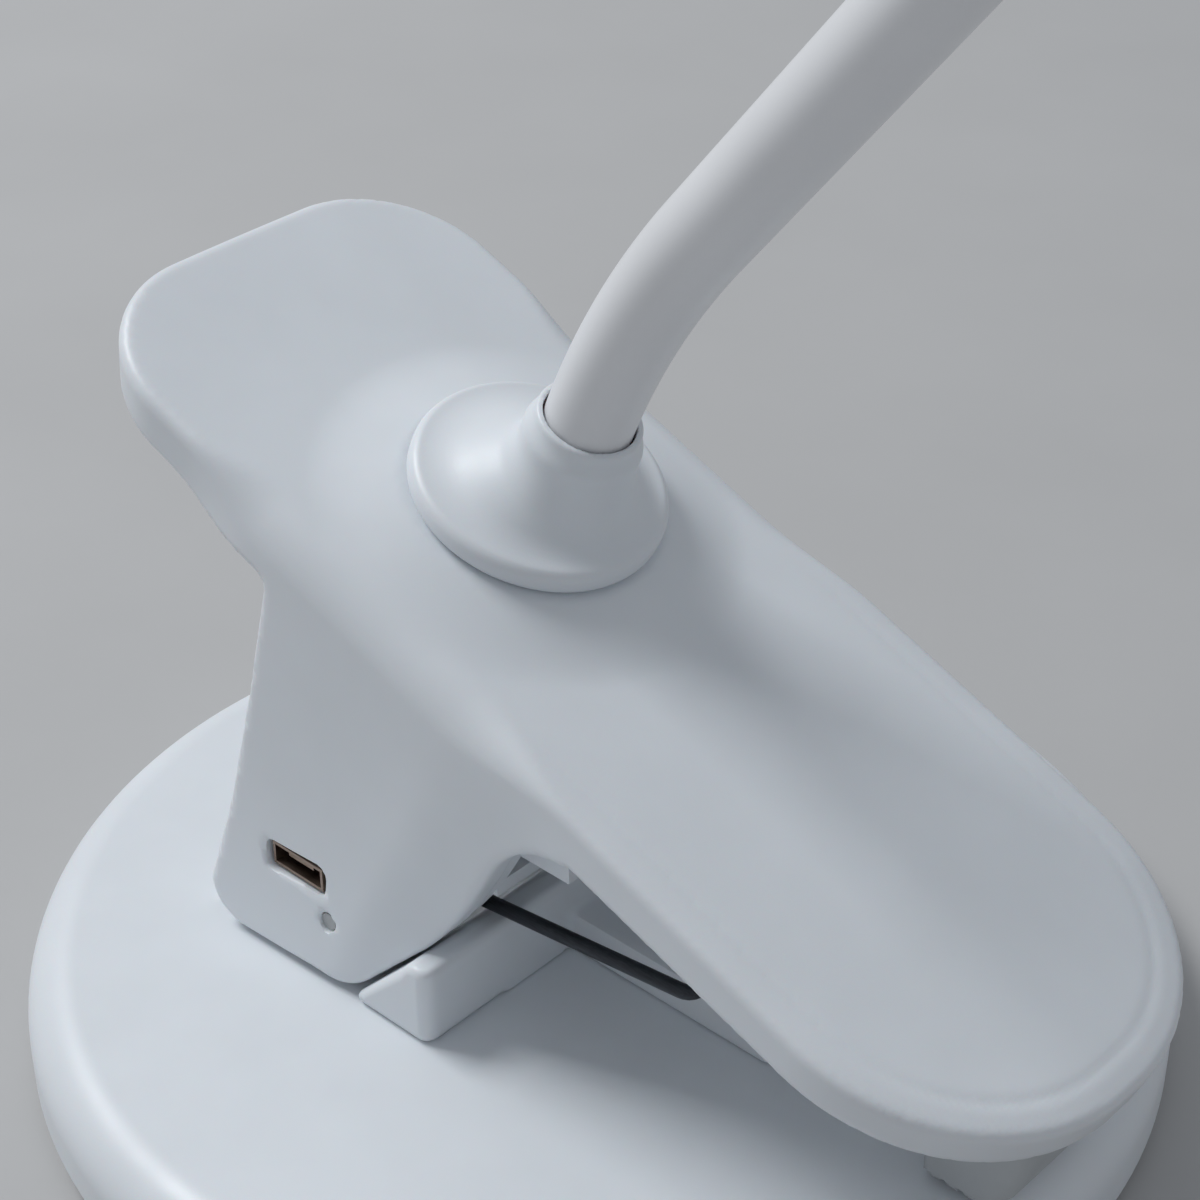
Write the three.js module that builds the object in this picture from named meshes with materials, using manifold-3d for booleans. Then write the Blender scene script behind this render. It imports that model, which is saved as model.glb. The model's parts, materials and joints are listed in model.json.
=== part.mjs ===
// Clip-on reading lamp: a round weighted base and a sprung arm make the two jaws of the clip, and a
// turning hub on the arm carries a flexible neck with a flat LED head.
// Millimetres, +Z up, origin at the centre of the base's underside, +X towards the tip of the jaw.
import * as THREE from 'three';
import { mergeVertices } from 'three/addons/utils/BufferGeometryUtils.js';
import Module from 'manifold-3d';

const wasm = await Module();
wasm.setup();

// ---- Driving dimensions ----

const GAP = 0.3; // between pieces that are cut round each other
const FIT = 0.05; // between faces that rest on each other

const rad = THREE.MathUtils.degToRad;

const BASE_RADIUS = 62.5;
const BASE_TOP = 12;
const BASE_EDGE = 5.5; // radius of the rounded upper edge
const BASE_WALL = 2;
const PAD_THICKNESS = 1.2;
const PAD_RADIUS = 58;
const COVER_TOP = 3.65;
const COVER_RADIUS = 59.1;
const BALLAST_RADIUS = 50;
const BALLAST_TOP = 9.7;

const HINGE_X = -24;
const HINGE_Z = BASE_TOP + 13;
const PIN_RADIUS = 1.6;
const CHEEK_Y = 24.4; // outer face of a cheek where it leaves the arm
const CHEEK_DRAFT = 0.098; // how much a cheek widens per millimetre of fall
const CHEEK_IN = 20.9; // where a cheek's rim ends, inside
const PLATE_Y = [18.6, 20.6]; // the inner plate that closes each cheek
const PEDESTAL_X = [-33, 2];
const PEDESTAL_Y = 28.5;

const ARM_SLOPE = rad(21.9);
const ARM_TAPER = rad(1.44); // the arm thins towards the tip
const ARM_HEIGHT = BASE_TOP + 43.7; // top plane of the arm over the origin
const ARM_THICKNESS = 6.5; // square to the top plane, over the origin
const ARM_TAIL = -56.9; // end of the handle, along the arm
const ARM_TIP = 72.6;
const ARM_HALF_WIDTH = 24.3;
const ARM_WALL = 2;
const TAIL_CORNER = 15;
const TIP_CORNER = 23;
const LID_LIFT = 1; // the lower shell sits this far inside the arm's rim
const LID_THICKNESS = 1.4;

const HUB_ALONG = -10.5;
const HUB_LIFT = 2.5; // the arm's top swells up this far under the hub
const SWELL_RADIUS = [14.3, 21.6]; // of the swelling, at its top and at its foot
const HUB_RADIUS = 13.5;
const SPIGOT_DEPTH = 5.2; // below the arm's top plane
const SOCKET_BORE_FLOOR = 5;
const SPIGOT_RADIUS = 6.7;
const SOCKET_SHIFT = 2.7; // the socket stands forward of the hub's axis
const SOCKET_RADIUS = 5.5;
const SOCKET_TOP = 13.6; // over the hub's underside
const CABLE_RADIUS = 2.4;

const NECK_RADIUS = 4.7;
const FERRULE_RADIUS = NECK_RADIUS - 0.6; // the neck's end, inside the socket
const NECK_JOINTS = 8;
const NECK_STUB = 14; // stretch of neck held in the socket, up to the first joint
const NECK_HALF_GAP = 1.4; // between a joint's centre and each stretch that it joins
const BALL_RADIUS = 2.6;
// each stretch of the neck's centre line: its length, and the angle from the vertical that it ends at
const NECK_RUNS = [[28, 38.5], [110, 38.5], [120, 105]];

const HEAD_LENGTH = 128;
const HEAD_WIDTH = 58;
const HEAD_TOP = 8;
const HEAD_BOTTOM = -6;
const HEAD_START = 9; // from the neck's end to the head's rear
const HEAD_WALL = 1.8;
const HEAD_RIM = 8.5;
const COLLAR_RADIUS = 6.4;

// ---- Materials ----

const paint = (color, roughness, metalness = 0) =>
  new THREE.MeshStandardMaterial({ color, roughness, metalness });
const WHITE = paint(0xe6eaee, 0.45);
const SLEEVE = paint(0xe2e4e6, 0.4);
const RUBBER = paint(0xb9bdc0, 0.8);
const STEEL = paint(0x8d9196, 0.35, 1);
const SPRING_STEEL = paint(0x2f3236, 0.4, 1);
const SCREW = paint(0xa5a8ab, 0.3, 1);
const CELL = paint(0xb8bcc0, 0.35, 0.6);
const BOARD = paint(0x2c5a3c, 0.6);
const LED_BOARD = paint(0xf2f2ec, 0.5);
const LIGHT_PIPE = paint(0xdfe3e2, 0.25);
const DIFFUSER = paint(0xf5f3ea, 0.35);
const KEY = paint(0xd4d9dd, 0.3);
const BRASS = paint(0xa98a4e, 0.35, 1);

// ---- Solids: three.js geometry, joined and cut by manifold-3d ----

function solid(geometry) {
  const bare = geometry.index ? geometry.toNonIndexed() : geometry.clone();
  bare.deleteAttribute('normal');
  bare.deleteAttribute('uv');
  const merged = mergeVertices(bare, 1e-4);
  return new wasm.Manifold(new wasm.Mesh({
    numProp: 3,
    vertProperties: new Float32Array(merged.attributes.position.array),
    triVerts: new Uint32Array(merged.index.array),
  }));
}

function geometryOf(shape) {
  const mesh = shape.getMesh();
  const geometry = new THREE.BufferGeometry();
  geometry.setAttribute('position', new THREE.BufferAttribute(mesh.vertProperties, 3));
  geometry.setIndex(new THREE.BufferAttribute(mesh.triVerts, 1));
  geometry.computeVertexNormals();
  return geometry;
}

const join = (first, ...others) => others.reduce((all, one) => all.add(one), first);
const cut = (first, ...others) => others.reduce((rest, one) => rest.subtract(one), first);

function box(x, y, z) {
  const geometry = new THREE.BoxGeometry(x[1] - x[0], y[1] - y[0], z[1] - z[0]);
  return geometry.translate((x[0] + x[1]) / 2, (y[0] + y[1]) / 2, (z[0] + z[1]) / 2);
}

// an upright cylinder between two heights
function rod(x, y, z, radius, sides = 20) {
  const geometry = new THREE.CylinderGeometry(radius, radius, z[1] - z[0], sides);
  return geometry.rotateX(Math.PI / 2).translate(x, y, (z[0] + z[1]) / 2);
}

// a cylinder along Y
function axle(x, z, y, radius, sides = 20) {
  const geometry = new THREE.CylinderGeometry(radius, radius, y[1] - y[0], sides);
  return geometry.translate(x, (y[0] + y[1]) / 2, z);
}

// a profile of [radius, height] turned about Z
function turned(profile, sides) {
  const points = profile.map(([r, z]) => new THREE.Vector2(r, z));
  return new THREE.LatheGeometry(points, sides).rotateX(Math.PI / 2);
}

function tubeRing(inner, outer, z, sides = 20) {
  return turned([[inner, z[0]], [outer, z[0]], [outer, z[1]], [inner, z[1]], [inner, z[0]]], sides);
}

function upright(shape, z, curveSegments = 6) {
  const geometry = new THREE.ExtrudeGeometry(shape, {
    depth: z[1] - z[0], bevelEnabled: false, curveSegments,
  });
  return geometry.translate(0, 0, z[0]);
}

// a side outline in X and Z, extruded along Y
function sideways(shape, y, curveSegments = 6) {
  const geometry = new THREE.ExtrudeGeometry(shape, {
    depth: y[1] - y[0], bevelEnabled: false, curveSegments,
  });
  return geometry.rotateX(Math.PI / 2).translate(0, y[1], 0);
}

function polygon(points) {
  return new THREE.Shape(points.map(([a, b]) => new THREE.Vector2(a, b)));
}

// a rectangle between two corners, with its own corner radius at each end of X
function roundedPlan(x, halfWidth, startCorner, endCorner = startCorner) {
  const shape = new THREE.Shape();
  shape.moveTo(x[0] + startCorner, -halfWidth);
  shape.lineTo(x[1] - endCorner, -halfWidth);
  shape.absarc(x[1] - endCorner, endCorner - halfWidth, endCorner, -Math.PI / 2, 0, false);
  shape.lineTo(x[1], halfWidth - endCorner);
  shape.absarc(x[1] - endCorner, halfWidth - endCorner, endCorner, 0, Math.PI / 2, false);
  shape.lineTo(x[0] + startCorner, halfWidth);
  shape.absarc(x[0] + startCorner, halfWidth - startCorner, startCorner, Math.PI / 2, Math.PI, false);
  shape.lineTo(x[0], startCorner - halfWidth);
  shape.absarc(x[0] + startCorner, startCorner - halfWidth, startCorner, Math.PI, Math.PI * 1.5, false);
  return shape;
}

// a pan-head screw standing head down at the origin
function screw(length, shank = 1.1, head = 2.3, headHeight = 0.9) {
  return turned([
    [0, 0], [head * 0.8, 0], [head, headHeight * 0.5], [head, headHeight], [shank, headHeight],
    [shank, headHeight + length], [0, headHeight + length],
  ], 10);
}

// ---- The scene graph ----

const lamp = new THREE.Group();
const armTop = new THREE.Group(); // X along the arm, Z square to its top plane
armTop.position.set(0, 0, ARM_HEIGHT);
armTop.rotation.y = ARM_SLOPE;
const armUnder = new THREE.Group(); // the same for the arm's underside
armUnder.position.set(
  -ARM_THICKNESS * Math.sin(ARM_SLOPE), 0, ARM_HEIGHT - ARM_THICKNESS * Math.cos(ARM_SLOPE));
armUnder.rotation.y = ARM_SLOPE - ARM_TAPER;
lamp.add(armTop, armUnder);
lamp.updateMatrixWorld(true);

const inArmTop = (geometry) => geometry.clone().applyMatrix4(armTop.matrixWorld);
const inArmUnder = (geometry) => geometry.clone().applyMatrix4(armUnder.matrixWorld);

// everything between two heights over the arm's underside
const underSlice = (z) => solid(inArmUnder(box([-120, 120], [-60, 60], z)));

function put(name, shape, material, group = lamp) {
  const geometry = shape instanceof THREE.BufferGeometry ? shape : geometryOf(shape);
  const mesh = new THREE.Mesh(geometry, material);
  mesh.name = name;
  group.add(mesh);
  return mesh;
}

// ---- Base ----

const BASE_SCREW_AT = 54.5;
const BASE_SCREW_ANGLES = [45, 135, 225, 315].map(rad);
const baseScrewSpots = BASE_SCREW_ANGLES.map(
  (a) => [BASE_SCREW_AT * Math.cos(a), BASE_SCREW_AT * Math.sin(a)]);
const PEDESTAL_SCREWS = [[-28.5, 0], [-7, 0]];
const BASE_CEILING = BASE_TOP - BASE_WALL;

function baseTopShell() {
  const edge = [66, 44, 22, 0].map(rad).map((a) => [
    BASE_RADIUS - BASE_EDGE + BASE_EDGE * Math.cos(a),
    BASE_TOP - BASE_EDGE + BASE_EDGE * Math.sin(a),
  ]);
  const shell = solid(turned([
    [0, BASE_CEILING], [BASE_RADIUS - BASE_EDGE, BASE_CEILING],
    [BASE_RADIUS - BASE_WALL - 0.9, BASE_TOP - BASE_EDGE], [BASE_RADIUS - BASE_WALL - 1, 1.3],
    [BASE_RADIUS - 0.7, 1.3], ...edge.reverse(), [BASE_RADIUS - BASE_EDGE, BASE_TOP], [0, BASE_TOP],
  ], 48));
  const bosses = baseScrewSpots.map(([x, y]) => solid(rod(x, y, [COVER_TOP + GAP, 10.5], 3.2, 10)));
  const pilots = baseScrewSpots.map(([x, y]) => solid(rod(x, y, [3, 8.7], 1.45, 8)));
  const pedestalHoles = PEDESTAL_SCREWS.map(([x, y]) => solid(rod(x, y, [9, 13], 1.5, 12)));
  return cut(join(shell, ...bosses), ...pilots, ...pedestalHoles);
}

put('base_top_shell', baseTopShell(), WHITE);
put('foot_pad', rod(0, 0, [0, PAD_THICKNESS], PAD_RADIUS, 48), RUBBER);

const coverHoles = baseScrewSpots.flatMap(([x, y]) => [
  solid(rod(x, y, [0.5, 4.5], 1.45, 8)),
  solid(rod(x, y, [0.5, 2.9], 2.9, 12)),
]);
const cover = rod(0, 0, [PAD_THICKNESS + FIT, COVER_TOP], COVER_RADIUS, 48);
put('base_bottom_cover', cut(solid(cover), ...coverHoles), WHITE);

baseScrewSpots.forEach(([x, y], i) => {
  put(`base_screw_${i + 1}`, screw(5.6, 1.1, 2.4, 1.4), SCREW).position.set(x, y, 1.35);
});

const ballastHoles = PEDESTAL_SCREWS.map(([x, y]) => solid(rod(x, y, [3, 11], 3.4, 16)));
const ballast = rod(0, 0, [COVER_TOP + FIT, BALLAST_TOP], BALLAST_RADIUS, 40);
put('ballast_plate', cut(solid(ballast), ...ballastHoles), STEEL);

// ---- Hinge pedestal, on top of the base ----

const PEDESTAL_FLOOR = BASE_TOP + 3;
const FRONT_WALL_TOP = BASE_TOP + 9.6;
const REAR_WALL_TOP = BASE_TOP + 3.6;
const LUG_Y = 6;
const LUG_RADIUS = 5.5;
const TONGUE_Y = 7;
const TONGUE_END = 29.5;
const TONGUE_TOP = BASE_TOP + 17.4;
const TONGUE_STEP = BASE_TOP + 5; // top of the tongue's low stretch
const SPRING_HOOK = [28, BASE_TOP + 15.1]; // X and Z of the spring's fixed ends

function hingePedestal() {
  const z0 = BASE_TOP + FIT;
  const block = solid(upright(roundedPlan(PEDESTAL_X, 17.5, 1, 0.5), [z0, PEDESTAL_FLOOR], 2));
  const plan = solid(upright(roundedPlan(PEDESTAL_X, PEDESTAL_Y, 4, 1.5), [z0, FRONT_WALL_TOP], 3));
  const frontSide = solid(sideways(polygon([
    [-8.8, z0 - 1], [2.5, z0 - 1], [2.5, FRONT_WALL_TOP + 1], [0.2, FRONT_WALL_TOP + 1],
    [-1.9, BASE_TOP + 8.2], [-8.8, BASE_TOP + 1],
  ]), [-30, 30]));
  const frontWall = plan.intersect(frontSide);
  const rearSide = solid(sideways(polygon([
    [-34, z0 - 1], [-31.6, z0 - 1], [-31.6, REAR_WALL_TOP], [-34, REAR_WALL_TOP],
  ]), [-30, 30]));
  const rearWall = plan.intersect(rearSide);
  const lugShape = new THREE.Shape();
  lugShape.moveTo(-31, PEDESTAL_FLOOR - 1);
  lugShape.lineTo(-8, PEDESTAL_FLOOR - 1);
  lugShape.lineTo(HINGE_X + LUG_RADIUS, HINGE_Z);
  lugShape.absarc(HINGE_X, HINGE_Z, LUG_RADIUS, 0, Math.PI, false);
  const lug = solid(sideways(lugShape, [-LUG_Y, LUG_Y], 8));
  const tongue = solid(sideways(polygon([
    [-4, z0], [TONGUE_END, z0], [TONGUE_END, TONGUE_TOP], [TONGUE_END - 4.5, TONGUE_TOP],
    [TONGUE_END - 6.5, TONGUE_STEP], [-4, TONGUE_STEP],
  ]), [-TONGUE_Y, TONGUE_Y]));
  const bore = solid(axle(HINGE_X, HINGE_Z, [-12, 12], PIN_RADIUS + GAP, 24));
  const hooks = solid(axle(SPRING_HOOK[0] - 0.4, SPRING_HOOK[1], [-12, 12], 1.3, 12));
  const screwHoles = PEDESTAL_SCREWS.map(([x, y]) => solid(rod(x, y, [11, BASE_TOP + 5.5], 1.4, 12)));
  return cut(join(block, frontWall, rearWall, lug, tongue), bore, hooks, ...screwHoles);
}

put('hinge_pedestal', hingePedestal(), WHITE);
PEDESTAL_SCREWS.forEach(([x, y], i) => {
  const headHeight = 1.2;
  const mesh = put(`pedestal_screw_${i + 1}`, screw(6.5, 1.1, 2.6, headHeight), SCREW);
  mesh.position.set(x, y, BASE_CEILING - headHeight - FIT);
});

put('hinge_pin', axle(HINGE_X, HINGE_Z, [-PLATE_Y[1] + 0.2, PLATE_Y[1] - 0.2], PIN_RADIUS, 24), STEEL);

// ---- Arm: handle, jaw and cheeks ----

// the outline of a cheek, in X and in height above the base, shrunk by an inset
function cheekOutline(inset, top) {
  const i = inset;
  const shape = new THREE.Shape();
  shape.moveTo(-27 + i * 0.6, BASE_TOP + 0.9 + i);
  shape.lineTo(-12 - i * 0.4, BASE_TOP + 0.9 + i);
  shape.quadraticCurveTo(-9.6 - i, BASE_TOP + 0.9 + i, -8 - i, BASE_TOP + 2.6 + i * 0.6);
  shape.lineTo(-1 - i * 1.1, BASE_TOP + 9.7 + i * 0.5);
  shape.quadraticCurveTo(3.6 - i * 1.1, BASE_TOP + 15.2, 7.5 - i * 1.1, BASE_TOP + 23.4 + i * 0.4);
  shape.quadraticCurveTo(10.6 - i * 1.2, BASE_TOP + 29.4, 17 - i * 1.6, BASE_TOP + 29.6);
  shape.lineTo(17 - i * 1.6, top[1]);
  shape.lineTo(-22 + i, top[0]);
  shape.lineTo(-25 + i, BASE_TOP + 31);
  shape.lineTo(-27.8 + i, BASE_TOP + 16.5);
  shape.lineTo(-31 + i * 1.2, BASE_TOP + 5 + i * 0.4);
  shape.quadraticCurveTo(-30.6 + i, BASE_TOP + 2 + i, -27 + i * 0.6, BASE_TOP + 0.9 + i);
  return shape;
}

// turns every face over, for a geometry that was mirrored
function flipped(geometry) {
  const turnedOver = geometry.clone();
  const array = turnedOver.attributes.position.array;
  for (let k = 0; k < array.length; k += 9) {
    for (let c = 0; c < 3; c += 1) {
      [array[k + 3 + c], array[k + 6 + c]] = [array[k + 6 + c], array[k + 3 + c]];
    }
  }
  return turnedOver;
}

// one side's cheek: its outer face leans outwards on the way down
function cheekBody(side, inset, inner, top) {
  const geometry = sideways(cheekOutline(inset, top), [0, 1], 5);
  const position = geometry.attributes.position;
  for (let k = 0; k < position.count; k += 1) {
    const fall = ARM_HEIGHT - position.getZ(k);
    const outer = CHEEK_Y + CHEEK_DRAFT * fall - inset;
    const y = position.getY(k) < 0.5 ? inner : outer;
    position.setY(k, side * y);
  }
  return solid(side > 0 ? geometry : flipped(geometry));
}

function armPlan(inset) {
  return roundedPlan(
    [ARM_TAIL + inset, ARM_TIP - inset], ARM_HALF_WIDTH - inset, TAIL_CORNER - inset, TIP_CORNER - inset);
}

const ARM_SCREWS = [[-41, -14], [-41, 14], [36, -15], [36, 15]];
const PORT = { x: -18, z: BASE_TOP + 12.5, width: 8.9, height: 3.7 };
const LED = { x: -13.2, z: BASE_TOP + 7.9, radius: 1.0 };

function armTopShell() {
  const bevel = 3;
  const loafGeometry = new THREE.ExtrudeGeometry(armPlan(0), {
    depth: 14, bevelEnabled: true, bevelThickness: bevel, bevelSize: bevel, bevelOffset: -bevel,
    bevelSegments: 2, curveSegments: 5,
  }).translate(0, 0, -14 - bevel);
  const loaf = cut(solid(inArmTop(loafGeometry)), underSlice([-40, 0]));
  const hollow = solid(inArmTop(upright(armPlan(ARM_WALL), [-20, -ARM_WALL])));
  const cheekTop = [BASE_TOP + 48, BASE_TOP + 33];
  const wellTop = [BASE_TOP + 45, BASE_TOP + 32.5];
  const wells = [-1, 1].map((side) => cheekBody(side, ARM_WALL, CHEEK_IN - 1, wellTop));
  const cheeks = [-1, 1].map((side) => cheekBody(side, 0, CHEEK_IN, cheekTop));
  const bosses = ARM_SCREWS.map(([u, v]) => solid(inArmUnder(rod(u, v, [2.8, 5], 2.7, 8))));
  const tallBosses = ARM_SCREWS.slice(0, 2).map(([u, v]) => solid(inArmUnder(rod(u, v, [2.8, 6.8], 2.7, 8))));
  const pilots = ARM_SCREWS.map(([u, v]) => solid(inArmUnder(rod(u, v, [1, 4.4], 1.45, 8))));
  const swelling = turned([
    [0, -1], [SWELL_RADIUS[1], -1], [SWELL_RADIUS[1], -0.2], [19.4, 0.9], [16.8, 1.9],
    [SWELL_RADIUS[0], HUB_LIFT], [0, HUB_LIFT],
  ], 36).translate(HUB_ALONG, 0, 0);
  const hubHole = solid(inArmTop(rod(HUB_ALONG, 0, [-4, HUB_LIFT + 1], SPIGOT_RADIUS + GAP, 28)));
  const port = sideways(roundedPlan([-PORT.width / 2, PORT.width / 2], PORT.height / 2, 1.2), [-32, -24], 2);
  const ledHole = axle(LED.x, LED.z, [-32, -24], LED.radius + GAP, 14);
  const shell = join(cut(loaf, hollow), solid(inArmTop(swelling)), ...cheeks, ...bosses, ...tallBosses);
  return cut(shell, hollow.subtract(join(...bosses, ...tallBosses, ...cheeks)), ...wells, ...pilots, hubHole,
    solid(port.translate(PORT.x, 0, PORT.z)), solid(ledHole));
}

put('arm_top_shell', armTopShell(), WHITE);

const CELL_BOX = { x: [-19, 10], y: [-16, 16], z: [BASE_TOP + 23.9, BASE_TOP + 31.3] };
const TRAY_FLOOR = [BASE_TOP + 22, BASE_TOP + 23.5];
const TRAY_X = [-22, 13];
const SHELF = { x: [-2, 3], z: [BASE_TOP + 14.9, BASE_TOP + 16.5] };

function armLowerShell() {
  const lid = solid(inArmUnder(upright(armPlan(ARM_WALL + GAP), [LID_LIFT, LID_LIFT + LID_THICKNESS])));
  const overCheeks = [-1, 1].map((side) => solid(box(
    [-27, 19.5], side > 0 ? [PLATE_Y[0], 30] : [-30, -PLATE_Y[0]], [BASE_TOP, BASE_TOP + 60])));
  const well = solid(box([TRAY_X[0] + 1.4, TRAY_X[1] - 1.4], [-PLATE_Y[0], PLATE_Y[0]], [TRAY_FLOOR[1], 70]));
  const tray = solid(box(TRAY_X, [-PLATE_Y[0] - 0.2, PLATE_Y[0] + 0.2], [TRAY_FLOOR[0], 70]));
  const aboveLid = underSlice([LID_LIFT + LID_THICKNESS, 60]);
  const plates = [-1, 1].map((side) => {
    const y = side > 0 ? PLATE_Y : [-PLATE_Y[1], -PLATE_Y[0]];
    const plate = solid(sideways(cheekOutline(0.35, [BASE_TOP + 46, BASE_TOP + 33.5]), y, 5));
    return cut(plate, aboveLid);
  });
  const shelf = solid(box(SHELF.x, [-PLATE_Y[0] - 0.2, PLATE_Y[0] + 0.2], SHELF.z));
  const pinHole = solid(axle(HINGE_X, HINGE_Z, [-30, 30], PIN_RADIUS + GAP, 24));
  const screwHoles = ARM_SCREWS.map(([u, v]) => solid(inArmUnder(rod(u, v, [0, 5], 1.45, 8))));
  const open = cut(join(cut(lid, ...overCheeks), tray.subtract(aboveLid)), well);
  return cut(join(open, ...plates, shelf), pinHole, ...screwHoles);
}

put('arm_lower_shell', armLowerShell(), WHITE);
ARM_SCREWS.forEach(([u, v], i) => {
  put(`arm_screw_${i + 1}`, screw(3.1, 1.05, 2.2, 0.85), SCREW, armUnder).position.set(u, v, 0.1);
});

// a soft wedge under the tip, which bears on whatever is clamped
const PAD_X = [50, 62.4];
const PAD_HALF_WIDTH = 9;
const PAD_TOP = [BASE_TOP + 17.9, BASE_TOP + 13.2];

function jawPad() {
  const wedge = solid(sideways(polygon([
    [PAD_X[0], BASE_TOP + 0.8], [PAD_X[1] - 4.4, BASE_TOP + 0.8], [PAD_X[1] - 2.4, BASE_TOP + 2.8],
    [PAD_X[1], PAD_TOP[1]], [PAD_X[0], PAD_TOP[0]],
  ]), [-PAD_HALF_WIDTH, PAD_HALF_WIDTH]));
  const outline = solid(upright(roundedPlan(PAD_X, PAD_HALF_WIDTH, 1.2, 5.5), [BASE_TOP, BASE_TOP + 20]));
  return wedge.intersect(outline);
}
put('jaw_pad', jawPad(), RUBBER);

put('battery_cell', upright(roundedPlan(CELL_BOX.x, CELL_BOX.y[1], 2), CELL_BOX.z, 2), CELL);

// charging board and socket, in the near cheek
const BOARD_Z = [BASE_TOP + 9.9, BASE_TOP + 10.9];
put('charge_board', box([-25, -9], [-25.4, -21.3], BOARD_Z), BOARD);

function usbSocket() {
  const x = PORT.x;
  const shellBox = solid(box([x - 3.8, x + 3.8], [-27.3, -22.2], [PORT.z - 1.45, PORT.z + 1.45]));
  const mouth = solid(box([x - 3.45, x + 3.45], [-28, -23], [PORT.z - 1.1, PORT.z + 1.1]));
  const tongue = solid(box([x - 1.9, x + 1.9], [-26.8, -22.5], [PORT.z + 0.1, PORT.z + 0.6]));
  return join(cut(shellBox, mouth), tongue);
}
put('usb_socket', usbSocket(), BRASS);
put('indicator_light_pipe', axle(LED.x, LED.z, [-27.7, -22.5], LED.radius, 14), LIGHT_PIPE);

// ---- Torsion spring: a coil each side of the lug, joined by a bar that bears on the shelf ----

const COIL_RADIUS = 4.7;
const WIRE_RADIUS = 0.8;
const COIL_Y = [7.5, 17];
const COIL_TURNS = 4;
const STEPS_PER_TURN = 8;

function springPath() {
  const barX = SHELF.x[1] - 1.6;
  const barZ = SHELF.z[1] + WIRE_RADIUS + FIT;
  const legAngle = Math.atan2(SPRING_HOOK[1] - (HINGE_Z - COIL_RADIUS), SPRING_HOOK[0] - HINGE_X);
  const sweep = Math.PI + legAngle + COIL_TURNS * 2 * Math.PI;
  const count = Math.round(sweep / (2 * Math.PI) * STEPS_PER_TURN);
  const half = [new THREE.Vector3(barX, 0, barZ), new THREE.Vector3(barX, COIL_Y[0] - 1, barZ)];
  half.push(new THREE.Vector3(barX - 1, COIL_Y[0], barZ));
  for (let k = 0; k <= count; k += 1) {
    const a = Math.PI / 2 + sweep * k / count;
    half.push(new THREE.Vector3(
      HINGE_X + COIL_RADIUS * Math.cos(a), THREE.MathUtils.lerp(COIL_Y[0], COIL_Y[1], k / count),
      HINGE_Z + COIL_RADIUS * Math.sin(a)));
  }
  half.push(new THREE.Vector3(SPRING_HOOK[0] - 1.4, COIL_Y[1], SPRING_HOOK[1]));
  half.push(new THREE.Vector3(SPRING_HOOK[0] - 0.4, COIL_Y[1] - 1, SPRING_HOOK[1]));
  half.push(new THREE.Vector3(SPRING_HOOK[0] - 0.4, TONGUE_Y - 2, SPRING_HOOK[1]));
  const mirrored = half.slice(1).reverse().map((p) => new THREE.Vector3(p.x, -p.y, p.z));
  return [...mirrored, ...half];
}

// a wire of round section through a list of points, with straight runs between them
function wire(points, radius, sides) {
  const rings = points.map((point, k) => {
    const before = points[Math.max(k - 1, 0)];
    const after = points[Math.min(k + 1, points.length - 1)];
    return { point, tangent: after.clone().sub(before).normalize() };
  });
  let normal = new THREE.Vector3(0, 0, 1);
  const vertices = [];
  rings.forEach(({ point, tangent }) => {
    normal = normal.clone().addScaledVector(tangent, -normal.dot(tangent)).normalize();
    const binormal = tangent.clone().cross(normal);
    for (let s = 0; s < sides; s += 1) {
      const a = 2 * Math.PI * s / sides;
      vertices.push(point.clone()
        .addScaledVector(normal, radius * Math.cos(a))
        .addScaledVector(binormal, radius * Math.sin(a)));
    }
  });
  const faces = [];
  for (let k = 0; k < rings.length - 1; k += 1) {
    for (let s = 0; s < sides; s += 1) {
      const a = k * sides + s;
      const b = k * sides + (s + 1) % sides;
      faces.push([a, b, b + sides], [a, b + sides, a + sides]);
    }
  }
  const last = (rings.length - 1) * sides;
  for (let s = 1; s < sides - 1; s += 1) {
    faces.push([0, s + 1, s], [last, last + s, last + s + 1]);
  }
  const geometry = new THREE.BufferGeometry().setFromPoints(vertices);
  geometry.setIndex(faces.flat());
  return geometry;
}

put('torsion_spring', solid(wire(springPath(), WIRE_RADIUS, 6)), SPRING_STEEL);

// ---- Hub, which turns on the arm ----

const hubSeat = new THREE.Group(); // on the arm's top plane, where the hub's axis meets it
hubSeat.position.set(HUB_ALONG, 0, 0);
armTop.add(hubSeat);
const hub = new THREE.Group();
hub.position.set(0, 0, HUB_LIFT);
hubSeat.add(hub);

function swivelHub() {
  const spigotEnd = -SPIGOT_DEPTH - HUB_LIFT;
  const dome = turned([
    [0, spigotEnd], [SPIGOT_RADIUS, spigotEnd], [SPIGOT_RADIUS, GAP], [HUB_RADIUS, GAP], [HUB_RADIUS, 2],
    [12.4, 3.5], [9.6, 5.6], [6.8, 8.2], [4.5, 9], [0, 9],
  ], 28);
  const socket = rod(SOCKET_SHIFT, 0, [2, SOCKET_TOP], SOCKET_RADIUS, 20);
  const bore = rod(SOCKET_SHIFT, 0, [SOCKET_BORE_FLOOR, SOCKET_TOP + 1], FERRULE_RADIUS + GAP, 16);
  const channel = rod(SOCKET_SHIFT / 2, 0, [spigotEnd - 1, SOCKET_BORE_FLOOR + 1], CABLE_RADIUS, 10);
  return cut(join(solid(dome), solid(socket)), solid(bore), solid(channel));
}

put('swivel_hub', swivelHub(), WHITE, hub);
put('hub_friction_washer', tubeRing(SPIGOT_RADIUS + GAP, 10.6, [-3.2, -ARM_WALL - FIT]), RUBBER, hubSeat);
put('hub_lock_ring', tubeRing(SPIGOT_RADIUS + 0.1, 10.4, [-4.6, -3.4]), STEEL, hubSeat);

// ---- Flexible neck ----

hub.updateWorldMatrix(true, false);
const neckLength = NECK_RUNS.reduce((sum, [length]) => sum + length, 0);

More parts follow.
